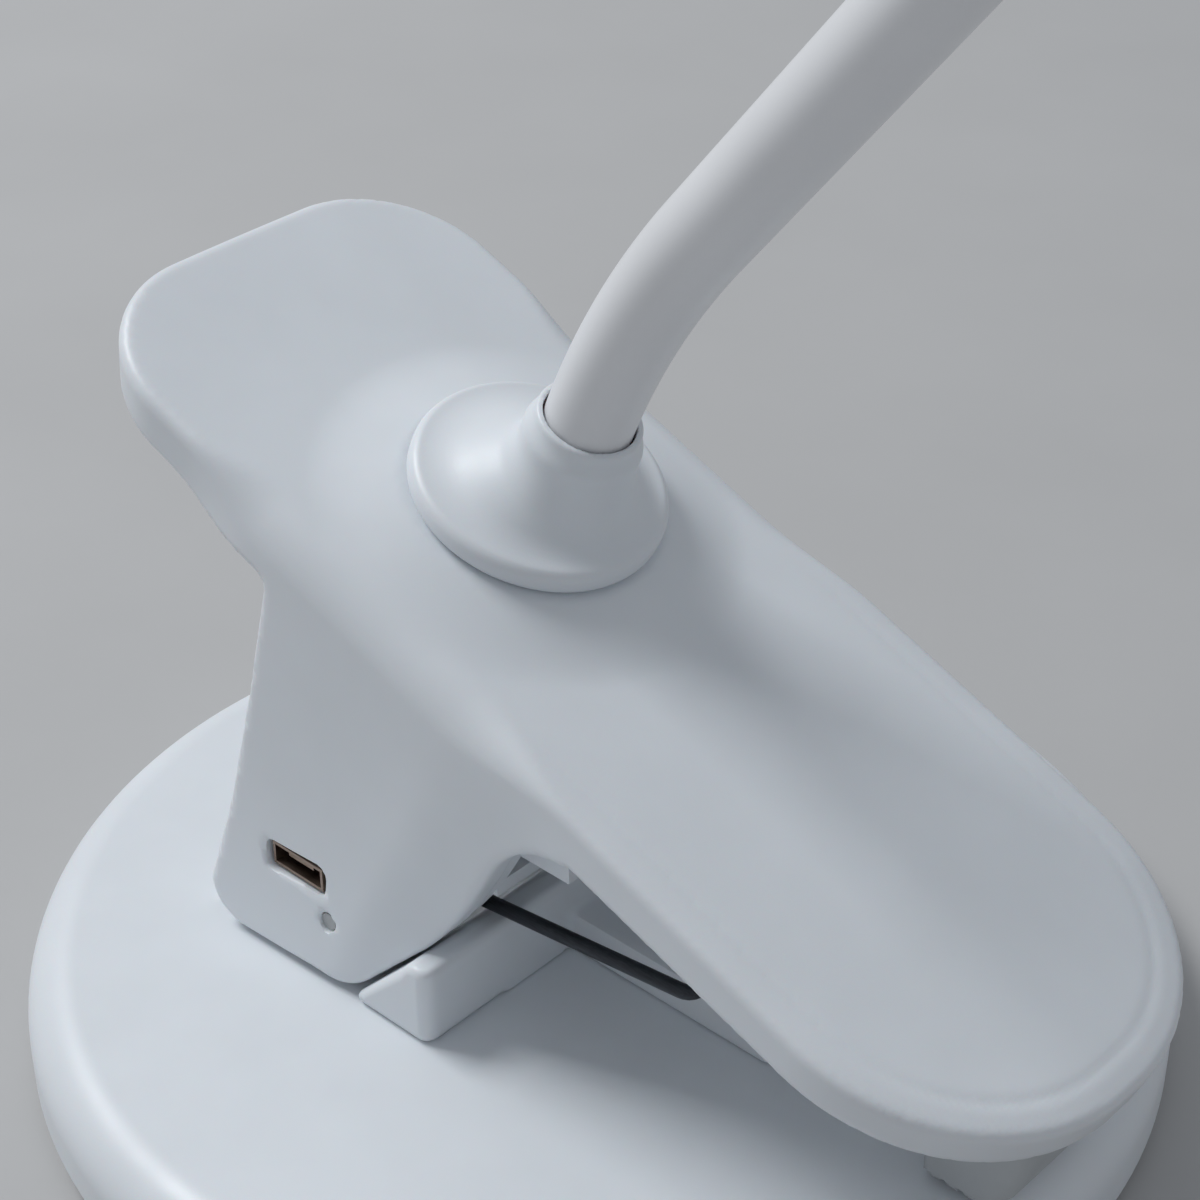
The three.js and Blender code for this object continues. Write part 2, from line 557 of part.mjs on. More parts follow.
// point and direction of the neck's centre line at a distance from the socket's mouth
function neckAt(distance) {
  let angle = ARM_SLOPE;
  const start = new THREE.Vector3(SOCKET_SHIFT, 0, SOCKET_TOP).applyMatrix4(hub.matrixWorld);
  let { x, z } = start;
  let left = distance;
  NECK_RUNS.forEach(([length, endDegrees], k) => {
    const lastRun = k === NECK_RUNS.length - 1;
    const run = lastRun ? left : Math.min(left, length);
    const turn = (rad(endDegrees) - (k === 0 ? ARM_SLOPE : rad(NECK_RUNS[k - 1][1]))) * run / length;
    if (Math.abs(turn) < 1e-6) {
      x += run * Math.sin(angle);
      z += run * Math.cos(angle);
    } else {
      const radius = run / turn;
      x += radius * (Math.cos(angle) - Math.cos(angle + turn));
      z += radius * (Math.sin(angle + turn) - Math.sin(angle));
    }
    angle += turn;
    left -= run;
  });
  return { point: new THREE.Vector3(x, 0, z), angle };
}

const NECK_PITCH = (neckLength - 2 * NECK_STUB) / (NECK_JOINTS - 1);
const jointDistance = (j) => NECK_STUB + NECK_PITCH * j;

// a frame with Z along the neck
function neckFrame(distance) {
  const { point, angle } = neckAt(distance);
  return new THREE.Matrix4().makeRotationY(angle).setPosition(point);
}

// a stretch of neck: a ball at its lower joint, and a cup for the next ball in its upper end
function neckStretch(from, to, ball, cup, radius = NECK_RADIUS) {
  const steps = 3;
  const centres = [];
  for (let k = 0; k <= steps; k += 1) {
    centres.push(neckAt(THREE.MathUtils.lerp(from, to, k / steps)).point);
  }
  let shape = solid(wire(centres, radius, 12));
  if (ball) {
    const frame = neckFrame(from - NECK_HALF_GAP);
    const ballShape = new THREE.SphereGeometry(BALL_RADIUS, 8, 5).rotateX(Math.PI / 2);
    const stem = rod(0, 0, [0, NECK_HALF_GAP + 1], 1.6, 6);
    shape = join(shape, solid(ballShape.applyMatrix4(frame)), solid(stem.applyMatrix4(frame)));
  }
  if (cup) {
    const hollow = new THREE.SphereGeometry(BALL_RADIUS + GAP + 0.1, 8, 5).rotateX(Math.PI / 2);
    shape = cut(shape, solid(hollow.applyMatrix4(neckFrame(to + NECK_HALF_GAP))));
  }
  return shape;
}

const ferrule = neckStretch(-5.5, 0.4, false, false, FERRULE_RADIUS);
const ferruleStub = neckStretch(0.3, jointDistance(0) - NECK_HALF_GAP, false, true);
put('neck_ferrule_lower', join(ferrule, ferruleStub), SLEEVE);
for (let j = 0; j < NECK_JOINTS - 1; j += 1) {
  const from = jointDistance(j) + NECK_HALF_GAP;
  const to = jointDistance(j + 1) - NECK_HALF_GAP;
  put(`gooseneck_${j + 1}`, neckStretch(from, to, true, true), SLEEVE);
}

// ---- Head: X away from the neck, the light leaves along -Z ----

const headEnd = neckAt(neckLength);
const head = new THREE.Group();
head.position.copy(headEnd.point);
head.rotation.y = headEnd.angle - Math.PI / 2;
lamp.add(head);
lamp.updateMatrixWorld(true);

const HEAD_X = [HEAD_START, HEAD_START + HEAD_LENGTH];
const headPlan = (inset) => roundedPlan(
  [HEAD_X[0] + inset, HEAD_X[1] - inset], HEAD_WIDTH / 2 - inset, HEAD_WIDTH / 2 - inset - 1);
const TOUCH_X = HEAD_X[0] + 26;
const TOUCH_RADIUS = 8;
const HEAD_SCREWS = [HEAD_X[0] + 36, HEAD_X[1] - 36].flatMap((x) => [[x, -25.2], [x, 25.2]]);
const FRAME_TOP = HEAD_BOTTOM + 2;

// the last stretch of neck runs into the collar, which the head's shells close on
const stubFrom = jointDistance(NECK_JOINTS - 1) + NECK_HALF_GAP;
put('neck_ferrule_upper', neckStretch(stubFrom, neckLength + 6, true, false), SLEEVE);

function collar() {
  const profile = [
    [NECK_RADIUS + GAP, -4], [NECK_RADIUS + 1, -4], [COLLAR_RADIUS, 0], [COLLAR_RADIUS, 15],
    [CABLE_RADIUS, 15], [CABLE_RADIUS, 7], [NECK_RADIUS + GAP, 7], [NECK_RADIUS + GAP, -4],
  ];
  return turned(profile, 18).rotateY(Math.PI / 2);
}
put('neck_collar_upper', collar(), WHITE, head);

function headTopShell() {
  const bevel = 4;
  const outer = new THREE.ExtrudeGeometry(headPlan(0), {
    depth: 20, bevelEnabled: true, bevelThickness: bevel, bevelSize: bevel, bevelOffset: -bevel,
    bevelSegments: 2, curveSegments: 6,
  }).translate(0, 0, HEAD_TOP - bevel - 20);
  const inner = solid(upright(headPlan(HEAD_WALL), [-40, HEAD_TOP - HEAD_WALL], 6));
  const below = solid(box([-20, 200], [-60, 60], [-60, FRAME_TOP + FIT]));
  const bosses = HEAD_SCREWS.map(([x, y]) => solid(rod(x, y, [FRAME_TOP + FIT, HEAD_TOP - 1], 2.6, 10)));
  const pilots = HEAD_SCREWS.map(([x, y]) => solid(rod(x, y, [-8, 2], 1.4, 8)));
  const keyHole = solid(rod(TOUCH_X, 0, [2, 12], TOUCH_RADIUS + GAP, 20));
  const collarHole = solid(
    new THREE.CylinderGeometry(COLLAR_RADIUS + GAP, COLLAR_RADIUS + GAP, 24, 24)
      .rotateZ(Math.PI / 2).translate(HEAD_X[0] - 4, 0, 0));
  const shell = join(cut(solid(outer), inner, below), ...bosses);
  return cut(shell, ...pilots, keyHole, collarHole);
}
put('head_top_shell', headTopShell(), WHITE, head);

function headBottomFrame() {
  const outer = solid(upright(headPlan(0), [HEAD_BOTTOM, FRAME_TOP], 6));
  const window = solid(upright(headPlan(HEAD_RIM), [-20, 0], 6));
  const holes = HEAD_SCREWS.flatMap(([x, y]) => [
    solid(rod(x, y, [-8, 0], 1.4, 8)), solid(rod(x, y, [-8, HEAD_BOTTOM + 1.15], 2.4, 10))]);
  const collarHole = solid(
    new THREE.CylinderGeometry(COLLAR_RADIUS + GAP, COLLAR_RADIUS + GAP, 24, 24)
      .rotateZ(Math.PI / 2).translate(HEAD_X[0] - 4, 0, 0));
  return cut(outer, window, collarHole, ...holes);
}
put('head_bottom_frame', headBottomFrame(), WHITE, head);

const lens = solid(upright(headPlan(HEAD_RIM + GAP), [HEAD_BOTTOM + 0.6, FRAME_TOP + 0.5], 6));
const lensFlange = solid(upright(headPlan(HEAD_RIM - 1.6), [FRAME_TOP + FIT, FRAME_TOP + 1.3], 6));
put('diffuser', join(lens, lensFlange), DIFFUSER, head);

function ledBoard() {
  const z = [-0.4, 0.8];
  const board = solid(upright(headPlan(HEAD_RIM - 1), z, 6));
  const chips = [];
  for (let k = 0; k < 8; k += 1) {
    const x = THREE.MathUtils.lerp(HEAD_X[0] + 24, HEAD_X[1] - 24, k / 7);
    [-10, 10].forEach((y) => chips.push(solid(box([x - 1.75, x + 1.75], [y - 1.4, y + 1.4], [-1.2, 0]))));
  }
  return cut(join(board, ...chips), solid(box([0, HEAD_X[0] + 10], [-9, 9], [-5, 5])));
}
put('led_board', ledBoard(), LED_BOARD, head);

put('touch_key', rod(TOUCH_X, 0, [HEAD_TOP - HEAD_WALL, HEAD_TOP + 0.2], TOUCH_RADIUS, 20), KEY, head);
put('touch_board', box([TOUCH_X - 10, TOUCH_X + 10], [-9, 9], [4.6, 5.6]), BOARD, head);
HEAD_SCREWS.forEach(([x, y], i) => {
  put(`head_screw_${i + 1}`, screw(5.4, 1.0, 2.0, 0.9), SCREW, head).position.set(x, y, HEAD_BOTTOM + 0.15);
});

export default lamp;
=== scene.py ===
"""Looks of a clip-on reading lamp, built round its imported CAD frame."""

import json
import math

import bpy
import numpy as np
import openvdb
from mathutils import Matrix, Vector


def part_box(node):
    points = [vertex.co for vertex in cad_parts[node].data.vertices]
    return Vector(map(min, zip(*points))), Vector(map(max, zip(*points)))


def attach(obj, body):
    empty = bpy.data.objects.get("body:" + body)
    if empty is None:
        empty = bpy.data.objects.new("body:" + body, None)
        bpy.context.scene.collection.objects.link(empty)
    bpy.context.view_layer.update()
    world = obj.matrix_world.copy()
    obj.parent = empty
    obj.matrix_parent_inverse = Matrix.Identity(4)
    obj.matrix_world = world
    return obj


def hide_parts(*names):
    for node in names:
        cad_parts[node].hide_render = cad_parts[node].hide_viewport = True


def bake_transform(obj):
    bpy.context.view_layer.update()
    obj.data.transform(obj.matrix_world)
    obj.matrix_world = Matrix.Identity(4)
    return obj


MM = 0.001
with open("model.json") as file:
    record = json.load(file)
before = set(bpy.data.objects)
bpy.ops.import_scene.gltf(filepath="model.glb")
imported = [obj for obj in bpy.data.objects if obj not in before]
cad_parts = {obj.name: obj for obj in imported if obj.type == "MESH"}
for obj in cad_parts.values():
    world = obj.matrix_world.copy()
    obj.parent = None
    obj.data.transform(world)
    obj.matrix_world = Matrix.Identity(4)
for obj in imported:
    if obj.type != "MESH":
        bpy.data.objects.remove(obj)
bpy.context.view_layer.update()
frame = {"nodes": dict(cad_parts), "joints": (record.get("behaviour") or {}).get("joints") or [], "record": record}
nodes = frame["nodes"]
joints = {j["name"]: j for j in frame["joints"]}

# ---- Places that the frame gives, in millimetres ----


def pivot(name):
    """A joint's point and axis at rest."""
    joint = joints[name]
    return Vector(joint["pos_m"]) / MM, Vector(joint["axis"]).normalized()


def corners(node):
    low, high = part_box(node)
    return low / MM, high / MM


HINGE = pivot("clamp_hinge")[0]
HUB, ARM_UP = pivot("hub_swivel")  # on the arm's top plane, and square to it
SLOPE = math.atan2(ARM_UP.x, ARM_UP.z)
ALONG = Vector((math.cos(SLOPE), 0, -math.sin(SLOPE)))
BASE_LOW, BASE_HIGH = corners("base_top_shell")
BASE_TOP = BASE_HIGH.z
BASE_RADIUS = BASE_HIGH.x
PAD_TOP = corners("foot_pad")[1].z


def in_arm(point):
    """A point's distance along the arm from the hub's axis, and its height over the arm's top plane."""
    away = Vector(point) - HUB
    return away.dot(ALONG), away.dot(ARM_UP)


shell_points = [in_arm(v.co / MM) for v in nodes["arm_top_shell"].data.vertices]
ARM_TAIL = min(u for u, _ in shell_points)
ARM_TIP = max(u for u, w in shell_points if w > -8)

# ---- Distance fields: a solid is a function that is negative inside it ----


def meet(a, b, radius):
    """Where both solids are, with a fillet of that radius along the edge between them."""
    inside = np.minimum(np.maximum(a + radius, b + radius), 0)
    return inside + np.hypot(np.maximum(a + radius, 0), np.maximum(b + radius, 0)) - radius


def join(a, b, radius):
    """Either solid, with a fillet of that radius in the corner between them."""
    return -meet(-a, -b, radius)


def carve(a, b, radius=0.2):
    """The first solid without the second."""
    return meet(a, -b, radius)


def melt(a, b, reach):
    """Either solid, flowing into each other over that reach."""
    share = np.clip(0.5 + 0.5 * (b - a) / reach, 0, 1)
    return b * (1 - share) + a * share - reach * share * (1 - share)


def ramp(x, start, end):
    t = np.clip((x - start) / (end - start), 0, 1)
    return t * t * (3 - 2 * t)


def slab(x, low, high):
    return np.abs(x - (low + high) / 2) - (high - low) / 2


def rounded_box(x, y, half_x, half_y, radius):
    a, b = np.abs(x) - half_x + radius, np.abs(y) - half_y + radius
    return np.minimum(np.maximum(a, b), 0) + np.hypot(np.maximum(a, 0), np.maximum(b, 0)) - radius


def plan(u, v, low, high, half, low_corner, high_corner):
    """A rectangle seen from above, with its own corner radius at each end."""
    middle = (low + high) / 2
    corner = np.where(u < middle, low_corner, high_corner)
    return rounded_box(u - middle, v, (high - low) / 2, half, corner)


def outline_distance(x, z, points):
    """Signed distance to a closed outline, negative inside."""
    nearest = np.full(np.broadcast(x, z).shape, 1e9)
    inside = np.zeros(nearest.shape, bool)
    for (x0, z0), (x1, z1) in zip(points, points[1:] + points[:1]):
        dx, dz = x1 - x0, z1 - z0
        t = np.clip(((x - x0) * dx + (z - z0) * dz) / (dx * dx + dz * dz), 0, 1)
        nearest = np.minimum(nearest, np.hypot(x - x0 - t * dx, z - z0 - t * dz))
        if abs(dz) > 1e-9:
            inside ^= ((z0 > z) != (z1 > z)) & (x < x0 + (z - z0) * dx / dz)
    return np.where(inside, -nearest, nearest)


def curve(*points, steps=8):
    """Points along a quadratic curve through a start, a handle and an end."""
    (ax, az), (bx, bz), (cx, cz) = points
    ts = [k / steps for k in range(1, steps + 1)]
    return [((1 - t) ** 2 * ax + 2 * t * (1 - t) * bx + t * t * cx,
             (1 - t) ** 2 * az + 2 * t * (1 - t) * bz + t * t * cz) for t in ts]


# ---- Meshes ----

SHARP_EDGE = math.radians(50)  # a crease steeper than this is not smoothed over


def make_mesh(name, points, faces, material):
    if isinstance(faces, np.ndarray):
        faces = faces.tolist()
    mesh = bpy.data.meshes.new(name)
    mesh.from_pydata(np.asarray(points).tolist(), [], faces)
    mesh.validate()
    mesh.shade_smooth()
    mesh.set_sharp_from_angle(angle=SHARP_EDGE)
    mesh.materials.append(material)
    piece = bpy.data.objects.new(name, mesh)
    bpy.context.scene.collection.objects.link(piece)
    return piece


def skin(name, field, low, high, step, material, place=None):
    """The surface of a distance field, meshed on a grid and pulled onto the true surface."""
    pad = 3 * step
    axes = [np.arange(a - pad, b + pad, step) for a, b in zip(low, high)]
    grids = np.ogrid[tuple(slice(0, len(a)) for a in axes)]
    x, y, z = (a[g] for a, g in zip(axes, grids))
    values = np.broadcast_to(field(x, y, z), tuple(len(a) for a in axes)).astype(np.float32)
    grid = openvdb.FloatGrid(pad)
    grid.copyFromArray(np.ascontiguousarray(values))
    points, faces = grid.convertToQuads(isovalue=0.0)
    points = points.astype(float) * step + [a[0] for a in axes]
    nudge = step * 0.2
    for _ in range(3):
        px, py, pz = points.T
        here = field(px, py, pz)
        slope = np.stack([
            field(px + nudge, py, pz) - field(px - nudge, py, pz),
            field(px, py + nudge, pz) - field(px, py - nudge, pz),
            field(px, py, pz + nudge) - field(px, py, pz - nudge),
        ], axis=1) / (2 * nudge)
        steep = np.maximum((slope ** 2).sum(1), 0.25)
        move = -slope * (here / steep)[:, None]
        points = points + np.clip(move, -step * 0.6, step * 0.6)
    piece = make_mesh(name, points * MM, faces, material)
    if place is not None:
        piece.data.transform(place)
    return piece


def rounded(profile, radii, steps=7):
    """A closed outline with each corner turned into an arc."""
    points = []
    count = len(profile)
    for k, (corner, radius) in enumerate(zip(profile, radii)):
        here, before, after = (np.array(p, float) for p in (corner, profile[k - 1], profile[(k + 1) % count]))
        if radius <= 0:
            points.append(tuple(here))
            continue
        to_before = (before - here) / np.linalg.norm(before - here)
        to_after = (after - here) / np.linalg.norm(after - here)
        half = math.acos(np.clip(to_before @ to_after, -1, 1)) / 2
        reach = radius / math.tan(half)
        bisector = (to_before + to_after) / np.linalg.norm(to_before + to_after)
        centre = here + bisector * radius / math.sin(half)
        first, last = here + to_before * reach - centre, here + to_after * reach - centre
        sweep = math.pi - 2 * half
        for s in range(steps + 1):
            a = sweep * s / steps
            share = math.sin(sweep - a) / math.sin(sweep), math.sin(a) / math.sin(sweep)
            points.append(tuple(centre + first * share[0] + last * share[1]))
    return points


def turned(name, profile, material, steps=96, place=None):
    """An outline of radius and height, turned about Z; a point with no radius is a pole."""
    points, rings = [], []
    for r, z in profile:
        if r < 1e-6:
            rings.append([len(points)])
            points.append((0, 0, z))
            continue
        rings.append(list(range(len(points), len(points) + steps)))
        turns = [2 * math.pi * k / steps for k in range(steps)]
        points += [(r * math.cos(turn), r * math.sin(turn), z) for turn in turns]
    faces = []
    closed = all(len(ring) > 1 for ring in rings)
    pairs = list(zip(rings, rings[1:])) + ([(rings[-1], rings[0])] if closed else [])
    for lower, upper in pairs:
        for k in range(steps):
            n = (k + 1) % steps
            if len(lower) == 1 and len(upper) == 1:
                continue
            if len(lower) == 1:
                faces.append((lower[0], upper[n], upper[k]))
            elif len(upper) == 1:
                faces.append((lower[k], lower[n], upper[0]))
            else:
                faces.append((lower[k], lower[n], upper[n], upper[k]))
    piece = make_mesh(name, np.array(points) * MM, faces, material)
    if place is not None:
        piece.data.transform(place)
    return face_out(piece)


def face_out(piece):
    """Turns a closed mesh's faces outwards."""
    mesh = piece.data
    volume = sum(
        mesh.vertices[a].co.dot(mesh.vertices[b].co.cross(mesh.vertices[c].co))
        for a, b, c in ((p.vertices[0], p.vertices[i], p.vertices[i + 1])
                        for p in mesh.polygons for i in range(1, len(p.vertices) - 1)))
    if volume < 0:
        mesh.flip_normals()
    return piece


def tube(name, centres, radius, material, sides=32, bore=0.0):
    """A round wire through points, or with a bore a hose; its ends are closed."""
    centres = [Vector(c) for c in centres]
    radii = radius if isinstance(radius, list) else [radius] * len(centres)
    count = len(centres)
    normal = Vector((0, 1, 0))
    frames = []
    for k, centre in enumerate(centres):
        tangent = (centres[min(k + 1, count - 1)] - centres[max(k - 1, 0)]).normalized()
        normal = (normal - tangent * normal.dot(tangent)).normalized()
        frames.append((centre, normal.copy(), tangent.cross(normal)))
    points, rings = [], []

    def ring(frame_at, r):
        centre, across, up = frame_at
        rings.append(range(len(points), len(points) + sides))
        for s in range(sides):
            a = 2 * math.pi * s / sides
            points.append(centre + across * (r * math.cos(a)) + up * (r * math.sin(a)))

    for place_at, r in zip(frames, radii):
        ring(place_at, r)
    if bore:
        for place_at in reversed(frames):
            ring(place_at, bore)
    faces = []
    pairs = list(zip(rings, rings[1:])) + ([(rings[-1], rings[0])] if bore else [])
    for lower, upper in pairs:
        faces += [(lower[s], lower[(s + 1) % sides], upper[(s + 1) % sides], upper[s]) for s in range(sides)]
    if not bore:
        faces += [tuple(reversed(rings[0])), tuple(rings[-1])]
    return face_out(make_mesh(name, [p * MM for p in points], faces, material))


# ---- Materials ----


class Shader:
    """A material's node tree, with its Principled shader."""

    def __init__(self, name, metallic=0.0):
        self.material = bpy.data.materials.new(name)
        self.material.use_nodes = True
        self.tree = self.material.node_tree
        self.surface = self.tree.nodes["Principled BSDF"]
        self.surface.inputs["Metallic"].default_value = metallic
        self.place = self.tree.nodes.new("ShaderNodeTexCoord").outputs["Object"]
        self.bump = None

    def add(self, kind, inputs=None, **settings):
        node = self.tree.nodes.new(kind)
        for key, value in settings.items():
            setattr(node, key, value)
        for key, value in (inputs or {}).items():
            if isinstance(value, bpy.types.NodeSocket):
                self.tree.links.new(value, node.inputs[key])
            else:
                node.inputs[key].default_value = value
        return node

    def noise(self, size, detail=2.0, roughness=0.5):
        """Noise whose blobs are about that many millimetres across."""
        node = self.add("ShaderNodeTexNoise", {
            "Vector": self.place, "Scale": 1 / (size * MM), "Detail": detail, "Roughness": roughness})
        return node.outputs["Fac"]

    def range(self, value, low, high, from_low=0.3, from_high=0.7):
        node = self.add("ShaderNodeMapRange", {
            "Value": value, "From Min": from_low, "From Max": from_high, "To Min": low, "To Max": high})
        return node.outputs["Result"]

    def tint(self, value, first, second, from_low=0.35, from_high=0.65):
        """The base colour, from the first colour to the second as a value rises."""
        share = self.range(value, 0.0, 1.0, from_low, from_high)
        mix = self.add("ShaderNodeMix", data_type="RGBA")
        self.tree.links.new(share, mix.inputs["Factor"])
        mix.inputs[6].default_value = (*first, 1)
        mix.inputs[7].default_value = (*second, 1)
        self.tree.links.new(mix.outputs[2], self.surface.inputs["Base Color"])

    def gloss(self, value, low, high):
        self.tree.links.new(self.range(value, low, high), self.surface.inputs["Roughness"])

    def relief(self, height, depth):
        """Bump from a height of 0 to 1 that stands that many millimetres deep."""
        node = self.add("ShaderNodeBump", {"Height": height, "Distance": depth * MM, "Strength": 1.0})
        if self.bump is not None:
            self.tree.links.new(self.bump, node.inputs["Normal"])
        self.bump = node.outputs["Normal"]
        self.tree.links.new(self.bump, self.surface.inputs["Normal"])


def shade(colour, factor):
    return tuple(min(c * factor, 1.0) for c in colour)


def moulded(name, colour, roughness, grain=0.35, depth=0.006, spread=0.04):
    """Satin moulded plastic: a fine eroded grain, a faint flow of tone and an uneven gloss."""
    shader = Shader(name)
    shader.tint(shader.noise(18, 3), shade(colour, 0.975), shade(colour, 1.02))
    shader.gloss(shader.noise(7, 4), roughness - spread, roughness + spread)
    shader.relief(shader.noise(grain, 2, 0.6), depth)
    shader.relief(shader.noise(26, 1), 0.02)
    return shader


def metal(name, colour, roughness, across=0.12, along=4.0):
    """Drawn or brushed steel, with fine lines along X and a cloudy polish."""
    shader = Shader(name, 1.0)
    stretch = shader.add("ShaderNodeMapping", {
        "Vector": shader.place, "Scale": (1 / (along * MM), 1 / (across * MM), 1 / (across * MM))})
    lines = shader.add("ShaderNodeTexNoise", {
        "Vector": stretch.outputs["Vector"], "Scale": 1.0, "Detail": 3.0})
    shader.tint(lines.outputs["Fac"], shade(colour, 0.8), shade(colour, 1.1))
    shader.gloss(shader.noise(3, 3), roughness - 0.08, roughness + 0.1)
    shader.relief(lines.outputs["Fac"], 0.004)
    return shader


def rubber(name, colour, roughness):
    """Matt moulded rubber with a dusty, slightly uneven tone."""
    shader = Shader(name)
    shader.tint(shader.noise(9, 4, 0.55), shade(colour, 0.94), shade(colour, 1.04))
    shader.gloss(shader.noise(4, 3), roughness - 0.06, roughness + 0.05)
    shader.relief(shader.noise(0.25, 2, 0.5), 0.004)
    return shader


def board(name, colour, line_colour):
    """A circuit board: solder mask over raised tracks."""
    shader = Shader(name)
    cells = shader.add("ShaderNodeTexVoronoi", {"Vector": shader.place, "Scale": 1 / (2.2 * MM)},
                       distance="MANHATTAN", feature="DISTANCE_TO_EDGE")
    shader.tint(cells.outputs["Distance"], line_colour, colour, 0.02, 0.06)
    shader.gloss(shader.noise(0.6, 2), 0.3, 0.5)
    shader.relief(cells.outputs["Distance"], 0.03)
    return shader


WHITE = (0.79, 0.82, 0.85)
shell_white = moulded("satin_shell_white", WHITE, 0.42)
shell_white.surface.inputs["Subsurface Weight"].default_value = 0.08
shell_white.surface.inputs["Subsurface Scale"].default_value = 0.002
sleeve = moulded("silicone_sleeve", (0.80, 0.80, 0.81), 0.36, grain=0.18, depth=0.003)
sleeve.surface.inputs["Sheen Weight"].default_value = 0.15
pad_rubber = rubber("soft_rubber", (0.50, 0.52, 0.53), 0.75)
steel = metal("ballast_steel", (0.55, 0.56, 0.58), 0.38)
spring_wire = metal("spring_steel", (0.06, 0.063, 0.07), 0.4)
screw_zinc = metal("zinc_screw", (0.62, 0.63, 0.64), 0.3, across=0.2, along=0.2)
socket_plate = metal("socket_plating", (0.33, 0.25, 0.20), 0.42, across=0.1, along=1.0)
foil = metal("cell_foil", (0.66, 0.67, 0.69), 0.32, across=1.5, along=1.5)
green_board = board("circuit_board", (0.02, 0.10, 0.05), (0.10, 0.24, 0.12))
white_board = board("led_board", (0.86, 0.86, 0.83), (0.72, 0.72, 0.68))
lens = moulded("opal_diffuser", (0.93, 0.92, 0.88), 0.3, grain=0.5, depth=0.01, spread=0.05)
lens.surface.inputs["Subsurface Weight"].default_value = 0.3
lens.surface.inputs["Subsurface Scale"].default_value = 0.003
pipe = moulded("clear_light_pipe", (0.80, 0.82, 0.82), 0.18)
pipe.surface.inputs["Transmission Weight"].default_value = 0.5
key = moulded("touch_key", (0.72, 0.75, 0.78), 0.25, grain=0.2, depth=0.002)

NODE_FINISH = {
    "shell_white": shell_white, "neck_sleeve": sleeve, "soft_rubber": pad_rubber,
    "ballast_steel": steel, "spring_steel": spring_wire, "screw_steel": screw_zinc,
    "socket_metal": socket_plate, "cell_foil": foil, "circuit_board": green_board,
    "led_board_white": white_board, "diffuser_opal": lens, "light_pipe": pipe, "key_grey": key,
}
for part in frame["record"]["subparts"]:
    node = nodes[part["node"]]
    node.data.materials.clear()
    node.data.materials.append(NODE_FINISH[part["material_slot"]].material)
    edge = node.modifiers.new("soft_edges", "BEVEL")
    edge.width = 0.15 * MM
    edge.segments = 2
    edge.limit_method = "ANGLE"
    edge.angle_limit = math.radians(40)


def finish_piece(piece, body, slot, *replaced):
    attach(piece, body)
    if replaced:
        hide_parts(*replaced)
    return piece


# ---- Base ----

BASE_EDGE = 5.6  # radius of the rounded upper edge
WALL = 2.0


def make_base():
    r, low = BASE_RADIUS, BASE_LOW.z
    inner = r - 3
    profile = [
        (0, BASE_TOP - WALL), (r - 6, BASE_TOP - WALL), (inner, BASE_TOP - 6), (inner, low),
        (r - 0.6, low), (r, low + 1.2), (r, BASE_TOP), (0, BASE_TOP)]
    outline = rounded(profile, [0, 2, 1.5, 0.2, 0.3, 0.5, BASE_EDGE, 0], steps=14)
    shell = turned("base_shell", outline, shell_white.material, 192)
    finish_piece(shell, "base", "shell_white", "base_top_shell")


make_base()

# ---- Arm shell: handle, jaw and cheeks in one moulding ----

ARM_HALF = 24.3
DRAFT = 0.098  # how much the cheeks lean outwards per millimetre of fall
UNDERCUT = 0.08  # how much the handle's sides lean inwards instead
TAIL_LEAN = 0.2  # and how much its end does
TAIL_CORNER = 15.0
TIP_CORNER = 23.0
ARM_THICK = 7.04  # at the hub's axis, along the plane's normal
TAPER = math.tan(math.radians(1.44))
CHEEK_IN = 20.9  # the cheeks' inner faces, from the middle
GAP = 0.3  # clearance round a part that turns or drops in
SPIGOT_RADIUS = 6.7
HUB_RADIUS = 13.5
HUB_LIFT = 2.5  # the top swells up this far under the hub
CREASE_INSET = 3.5  # a shallow crease follows the outline of the jaw
CREASE_DEPTH = 0.16
CREASE_WIDTH = 0.55
SWELLING_END = 23.5  # where the swelling under the hub has died away

socket_low, socket_high = corners("usb_socket")
PORT = (socket_low + socket_high) / 2
PORT_HALF = (4.45, 1.85)  # half the width and height of the opening in the cheek
light_low, light_high = corners("indicator_light_pipe")
LIGHT = (light_low + light_high) / 2
LIGHT_RADIUS = (light_high.x - light_low.x) / 2


def cheek_outline():
    t = BASE_TOP
    points = [(-27, t + 0.9), (-12, t + 0.9)]
    points += curve((-12, t + 0.9), (-9.6, t + 0.9), (-8, t + 2.6), steps=5)
    points += [(-1, t + 9.7)]
    points += curve((-1, t + 9.7), (3.6, t + 15.2), (7.5, t + 23.4))
    points += curve((7.5, t + 23.4), (10.6, t + 29.4), (17, t + 29.6))
    points += [(17, t + 34), (-22, t + 50), (-25, t + 31), (-27.8, t + 16.5), (-31, t + 5)]
    points += curve((-31, t + 5), (-30.6, t + 2), (-27, t + 0.9), steps=5)[:-1]
    return points


CHEEK = cheek_outline()


def arm_axes(x, z):
    u = (x - HUB.x) * ALONG.x + (z - HUB.z) * ALONG.z
    w = (x - HUB.x) * ARM_UP.x + (z - HUB.z) * ARM_UP.z
    return u, w


def over_cheeks(u):
    """1 where the cheeks hang from the arm, 0 along the handle and the jaw."""
    return ramp(u, -26, -14) * (1 - ramp(u, 14, 30))


def arm_plan(u, v, inset, fall=0.0):
    handle_share = 1 - ramp(u, -26, -14)
    half = ARM_HALF - inset + (DRAFT * over_cheeks(u) - UNDERCUT * handle_share) * fall
    tail = ARM_TAIL + inset + TAIL_LEAN * fall * handle_share
    return plan(u, v, tail, ARM_TIP - inset, half, TAIL_CORNER - inset, TIP_CORNER - inset)


